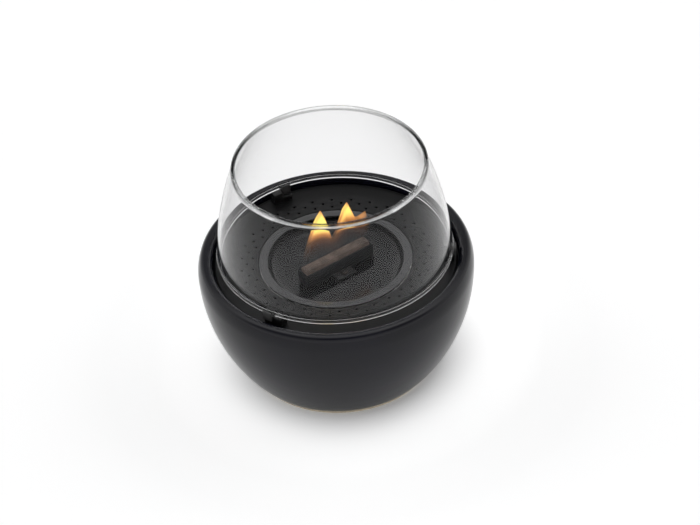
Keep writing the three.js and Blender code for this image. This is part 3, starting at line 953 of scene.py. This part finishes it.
slab_middle = (slab_low.z + slab_high.z) / 2
slab_height = slab_high.z - slab_low.z
slab_roughness = 0.00018
slab_margin = 0.0002
slab_bevel = 0.0009
soot_depth = 0.004
slab_size = (slab_length - 2 * slab_margin, slab_thick - 2 * slab_margin, slab_height - 2 * slab_margin)
shape = block(slab_size, (0, 0, slab_middle), slab_bevel, segments=1)
bmesh.ops.subdivide_edges(shape, edges=shape.edges[:], cuts=22, use_grid_fill=True)
soot = shape.verts.layers.float.new("soot")
for vert in shape.verts:
    vert.co += noise.noise_vector(vert.co * 420) * slab_roughness
    depth_below_top = slab_high.z - vert.co.z
    edge_nearness = max(0, 1 - depth_below_top / soot_depth)
    vert[soot] = edge_nearness * (0.7 + 0.6 * noise.noise(vert.co * 160))
for vert in shape.verts:
    vert.co.z = min(vert.co.z, slab_high.z)
slab = finished(turn_round(shape, slab_turn), "fibre_slab", smooth_angle=60)
wick_board, tree, surface = new_material("wick_board")
board_fibres = noise_node(tree, 500, 5.0, stretch=(1, 1, 0.5))
board_colour = ramp_node(tree, board_fibres, [(0.3, (0.1, 0.07, 0.057)), (0.7, (0.2, 0.15, 0.125))])
sooted = math_node(tree, "MULTIPLY", layer_mask(tree, "soot"), 0.85, clamp=True)
tree.links.new(mix_colours(tree, sooted, board_colour, (0.018, 0.014, 0.012)), surface.inputs["Base Color"])
surface.inputs["Roughness"].default_value = 0.9
add_relief(tree, surface, 300, 0.00025, 1500, 0.00008)
slab.data.materials.append(wick_board)
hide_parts("wick_slab")
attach(slab, "wick")


# ---- Glass supports ----
# Three small steel brackets, coated deep black, screwed to the tray from below. A low half carries the grip
# on a tongue, and a taller shoulder stands under the edge of the glass.

support_count = 3
support_first_angle = math.radians(114)
chimney_low, chimney_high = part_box("glass_chimney")
chimney_foot = chimney_high.x
bead_size = 0.0018  # half the thickness of the bead along the glass edge
grip_middle = chimney_foot - bead_size
support_outer = chimney_foot + 0.0002
support_inner = support_outer - 0.0085
support_near = -0.004
support_far = 0.012
support_shoulder = 0.0043
support_base = tray_high.z + 0.0003
support_low = support_base + 0.0044
support_top = chimney_low.z - 0.0005
support_round = 0.0005
tongue_half_depth = 0.0015
tongue_half_width = 0.0021
tongue_top = chimney_low.z - 0.002
tongue_root = 0.0006  # how far it reaches into the bracket
tongue_round = 0.0003

black_bracket, tree, surface = new_material("black_bracket")
grain = add_relief(tree, surface, 80, 0.00001, 1300, 0.000008)
vary(tree, surface, "Base Color", grain, (0.0022, 0.0022, 0.0023), (0.0036, 0.0036, 0.0038))
vary(tree, surface, "Roughness", noise_node(tree, 120, 3.0), 0.34, 0.42)
surface.inputs["Specular IOR Level"].default_value = 0.35


def extruded_outline(corners, vec, rounding):
    """A flat outline pulled into a solid, with rounded edges."""
    shape = bmesh.new()
    points = [shape.verts.new(corner) for corner in corners]
    outline = shape.faces.new(points)
    raised = bmesh.ops.extrude_face_region(shape, geom=[outline])["geom"]
    bmesh.ops.translate(shape, vec=vec, verts=points_of(raised))
    bmesh.ops.recalc_face_normals(shape, faces=shape.faces)
    round_edges(shape, shape.edges[:], rounding)
    return shape


def turned_to_support(shape, i):
    return turn_round(shape, support_first_angle + 2 * math.pi * i / support_count)


for i in range(support_count):
    shape = extruded_outline([
        (support_inner, support_near, support_base),
        (support_inner, support_far, support_base),
        (support_inner, support_far, support_top),
        (support_inner, support_shoulder, support_top),
        (support_inner, support_shoulder, support_low),
        (support_inner, support_near, support_low),
    ], (support_outer - support_inner, 0, 0), support_round)
    tongue_height = tongue_top - support_low + tongue_root
    tongue_size = (2 * tongue_half_depth, 2 * tongue_half_width, tongue_height)
    add_block(shape, tongue_size, (grip_middle, 0, tongue_top - tongue_height / 2), tongue_round)
    support = finished(turned_to_support(shape, i), f"glass_bracket_{i + 1}")
    support.data.materials.append(black_bracket)
    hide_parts(f"glass_support_{i + 1}")
    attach(support, "tray_insert")


# ---- Glass grips ----
# Three grips moulded from dark grey silicone, pushed over the tongues of the brackets. The edge of the
# glass stands in the slot along the top of each.

grip_low_z = support_low + 0.0003
grip_half_width = 0.004
grip_slot_half = bead_size + 0.0004
grip_half_depth = grip_slot_half + 0.0014
grip_floor = chimney_low.z - 0.0003
grip_top = chimney_low.z + 0.0035
grip_side = 0.0016
grip_roof = 0.0014
grip_round = 0.00045

grey_silicone, tree, surface = new_material("grey_silicone")
vary(tree, surface, "Base Color", noise_node(tree, 260, 3.0), (0.02, 0.02, 0.02), (0.035, 0.035, 0.035))
surface.inputs["Roughness"].default_value = 0.5
add_relief(tree, surface, 200, 0.00002, 2200, 0.000006)

for i in range(support_count):
    shape = extruded_outline([
        (grip_middle - grip_half_depth, -grip_half_width, grip_low_z),
        (grip_middle + grip_half_depth, -grip_half_width, grip_low_z),
        (grip_middle + grip_half_depth, -grip_half_width, grip_top),
        (grip_middle + grip_slot_half, -grip_half_width, grip_top),
        (grip_middle + grip_slot_half, -grip_half_width, grip_floor),
        (grip_middle - grip_slot_half, -grip_half_width, grip_floor),
        (grip_middle - grip_slot_half, -grip_half_width, grip_top),
        (grip_middle - grip_half_depth, -grip_half_width, grip_top),
    ], (0, 2 * grip_half_width, 0), grip_round)
    downward = [face for face in shape.faces if face.normal.z < -0.99]
    underside = max(downward, key=lambda face: face.calc_area())
    bmesh.ops.inset_region(shape, faces=[underside], thickness=grip_side - grip_round, use_even_offset=True)
    pocket = bmesh.ops.extrude_face_region(shape, geom=[underside])["geom"]
    bmesh.ops.delete(shape, geom=[underside], context="FACES_ONLY")
    bmesh.ops.translate(shape, vec=(0, 0, grip_floor - grip_roof - grip_low_z), verts=points_of(pocket))
    bmesh.ops.recalc_face_normals(shape, faces=shape.faces)
    grip = finished(turned_to_support(shape, i), f"edge_grip_{i + 1}")
    grip.data.materials.append(grey_silicone)
    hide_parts(f"glass_grip_{i + 1}")
    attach(grip, "tray_insert")


# ---- Screws of the glass supports ----
# Three stainless M3 pan-head screws, put in from under the tray into the brackets.

support_screw_ring = (support_inner + support_outer) / 2
support_screw_aside = (support_shoulder + support_far) / 2
for i in range(support_count):
    screw_low, screw_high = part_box(f"support_screw_{i + 1}")
    shape = screw_shape(screw_high.z - screw_low.z - screw_head_height)
    bmesh.ops.rotate(shape, cent=(0, 0, 0), matrix=Matrix.Rotation(math.pi, 3, "X"), verts=shape.verts)
    head_seat = screw_low.z + screw_head_height
    bmesh.ops.translate(shape, vec=(support_screw_ring, support_screw_aside, head_seat), verts=shape.verts)
    screw = finished(turned_to_support(shape, i), f"bracket_screw_{i + 1}", smooth_angle=50)
    screw.data.materials.append(stainless)
    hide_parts(f"support_screw_{i + 1}")
    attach(screw, "tray_insert")


# ---- Glass chimney ----
# A barrel blown from clear borosilicate glass, open above and below, with both edges melted into a round
# bead. It stands in the grips, so that air reaches the flames from under its foot.

chimney_taper = 0.0168
chimney_power = 1.7
chimney_steps = 24
bead_steps = 24
glass_sheet = 0.0022
bead_clearness = 0.5  # share of the light that the bead along the top lets through unbent
bead_start = math.degrees(math.acos(glass_sheet / 2 / bead_size))
chimney_top = chimney_foot - chimney_taper
foot_bead = (chimney_foot - bead_size, chimney_low.z + bead_size)
top_bead = (chimney_top - bead_size, chimney_high.z - bead_size)
middle_line = []
for i in range(chimney_steps + 1):
    share = i / chimney_steps
    height = foot_bead[1] + (top_bead[1] - foot_bead[1]) * share
    middle_line.append((top_bead[0] + chimney_taper * (1 - share ** chimney_power), height))
(below_radius, below_height), (end_radius, end_height) = middle_line[-2:]
top_lean = math.degrees(math.atan2(below_radius - end_radius, end_height - below_height))
clear_steps = middle_line[1:-1]
chimney_profile = [
    *[(radius + glass_sheet / 2, height) for radius, height in clear_steps],
    *arc(*top_bead, bead_size, top_lean - bead_start, top_lean + 180 + bead_start, bead_steps),
    *[(radius - glass_sheet / 2, height) for radius, height in reversed(clear_steps)],
    *arc(*foot_bead, bead_size, 180 - bead_start, 360 + bead_start, bead_steps),
]
shape = turned(chimney_profile)
bead = shape.verts.layers.float.new("bead")
for vert in shape.verts:
    vert[bead] = bead_clearness if vert.co.z > clear_steps[-1][1] + 0.0001 else 0.0
chimney = finished(shape, "glass_barrel", smooth_angle=60)
clear_glass, tree, surface = new_material("borosilicate_glass")
surface.inputs["Base Color"].default_value = (0.925, 0.925, 0.928, 1)
surface.inputs["Roughness"].default_value = 0.0
surface.inputs["IOR"].default_value = 1.47
surface.inputs["Specular Tint"].default_value = (0.15, 0.15, 0.15, 1)
surface.inputs["Transmission Weight"].default_value = 1.0
add_relief(tree, surface, 22, 0.00002, 90, 0.000002)
let_through = tree.nodes.new("ShaderNodeBsdfTransparent")
let_through.inputs["Color"].default_value = (0.93, 0.935, 0.935, 1)
rays = tree.nodes.new("ShaderNodeLightPath").outputs
straight = math_node(tree, "MAXIMUM", rays["Is Shadow Ray"], layer_mask(tree, "bead"))
glass_mix = mix_shaders(tree, straight, surface.outputs["BSDF"], let_through.outputs["BSDF"])
tree.links.new(glass_mix, tree.nodes["Material Output"].inputs["Surface"])
chimney.data.materials.append(clear_glass)
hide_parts("glass_chimney")
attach(chimney, "glass")


# ---- Flames ----
# Two tongues of burning ethanol vapour over the slab, which the wick feeds. Their foot is clear, they turn
# orange and then bright yellow higher up, and their edges stay orange.

flame_outline = [
    (-0.0318, 0.1055), (-0.0305, 0.118), (-0.028, 0.1235), (-0.025, 0.130), (-0.0215, 0.1364),
    (-0.0193, 0.1433), (-0.0153, 0.149), (-0.0113, 0.153), (-0.0083, 0.145), (-0.0062, 0.137),
    (-0.0042, 0.127), (-0.003, 0.121), (0.0, 0.1225), (0.0036, 0.130), (0.0066, 0.1365), (0.010, 0.1445),
    (0.0143, 0.1484), (0.0161, 0.1435), (0.018, 0.138), (0.0203, 0.131), (0.023, 0.1293), (0.026, 0.1298),
    (0.0312, 0.131), (0.033, 0.124), (0.0338, 0.117), (0.0342, 0.106),
]  # along the slab, height
flame_start = [
    (-0.0318, 0.131), (-0.022, 0.132), (-0.014, 0.133), (-0.005, 0.1275), (0.0, 0.1265), (0.006, 0.131),
    (0.011, 0.1345), (0.017, 0.1325), (0.024, 0.1285), (0.0342, 0.1275),
]  # along the slab, height at which the flame turns bright
flame_foot = slab_high.z + 0.0001
flame_half_thick = 0.004
flame_columns = 150
flame_rows = 80
flame_fade = 0.04  # height over which the colour runs from clear to yellow
flame_waver = 0.0012


def height_at(line, along):
    """Height of a line of (along, height) points at one place."""
    for (near, low), (far, high) in zip(line, line[1:]):
        if near <= along <= far:
            return low + (high - low) * (along - near) / (far - near)
    return line[-1][1]


flame_near = flame_outline[0][0]
flame_far = flame_outline[-1][0]
shape = bmesh.new()
bmesh.ops.create_grid(shape, x_segments=flame_columns, y_segments=flame_rows, size=1.0)
rise = shape.verts.layers.float.new("rise")
depth = shape.verts.layers.float.new("depth")
for vert in shape.verts:
    across_share = (vert.co.x + 1) / 2
    up_share = (vert.co.y + 1) / 2
    along = flame_near + (flame_far - flame_near) * across_share
    height = flame_foot + (height_at(flame_outline, along) - flame_foot) * up_share
    inward = min(1, 4 * across_share, 4 * (1 - across_share))
    thickness = math.sqrt(max(0, 1 - up_share ** 2.5)) * math.sin(math.pi / 2 * inward)
    waver = flame_waver * noise.noise(Vector((along * 180, height * 90, 0)))
    vert[rise] = 0.5 + (height + waver - height_at(flame_start, along)) / flame_fade
    vert[depth] = thickness
    vert.co = (along, flame_half_thick * thickness, height)
bmesh.ops.mirror(shape, geom=shape.verts[:] + shape.edges[:] + shape.faces[:], axis="Y", merge_dist=1e-6)
bmesh.ops.remove_doubles(shape, verts=shape.verts, dist=1e-6)
bmesh.ops.recalc_face_normals(shape, faces=shape.faces)
flames = finished(turn_round(shape, slab_turn), "flames", smooth_angle=80)
fire, tree, surface = new_material("ethanol_flame")
surface.inputs["Base Color"].default_value = (0, 0, 0, 1)
surface.inputs["Specular IOR Level"].default_value = 0.0
surface.inputs["Roughness"].default_value = 1.0
risen = layer_mask(tree, "rise")
body_depth = layer_mask(tree, "depth")
core = ramp_node(tree, risen, [
    (0.3, (0.5, 0.17, 0.06)), (0.5, (0.8, 0.33, 0.1)), (0.62, (1.0, 0.72, 0.18)), (0.72, (1.0, 0.92, 0.2)),
    (1.0, (1.0, 0.85, 0.22)),
])
inner = range_node(tree, body_depth, 0.2, 0.6, 0, 1, smooth=True)
tree.links.new(mix_colours(tree, inner, (0.86, 0.38, 0.12), core), surface.inputs["Emission Color"])
surface.inputs["Emission Strength"].default_value = 1.3
veil = ramp_node(tree, risen, [
    (0.0, grey(0.0)), (0.26, grey(0.03)), (0.4, grey(0.12)), (0.5, grey(0.55)), (0.58, grey(0.92)),
    (1.0, grey(0.95)),
])
solid_middle = range_node(tree, body_depth, 0.0, 0.5, 0.15, 1.0, smooth=True)
tree.links.new(math_node(tree, "MULTIPLY", veil, solid_middle), surface.inputs["Alpha"])
flames.data.materials.append(fire)
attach(flames, "wick")


# ---- Update ----
# The scene is brought up to date.

bpy.context.view_layer.update()
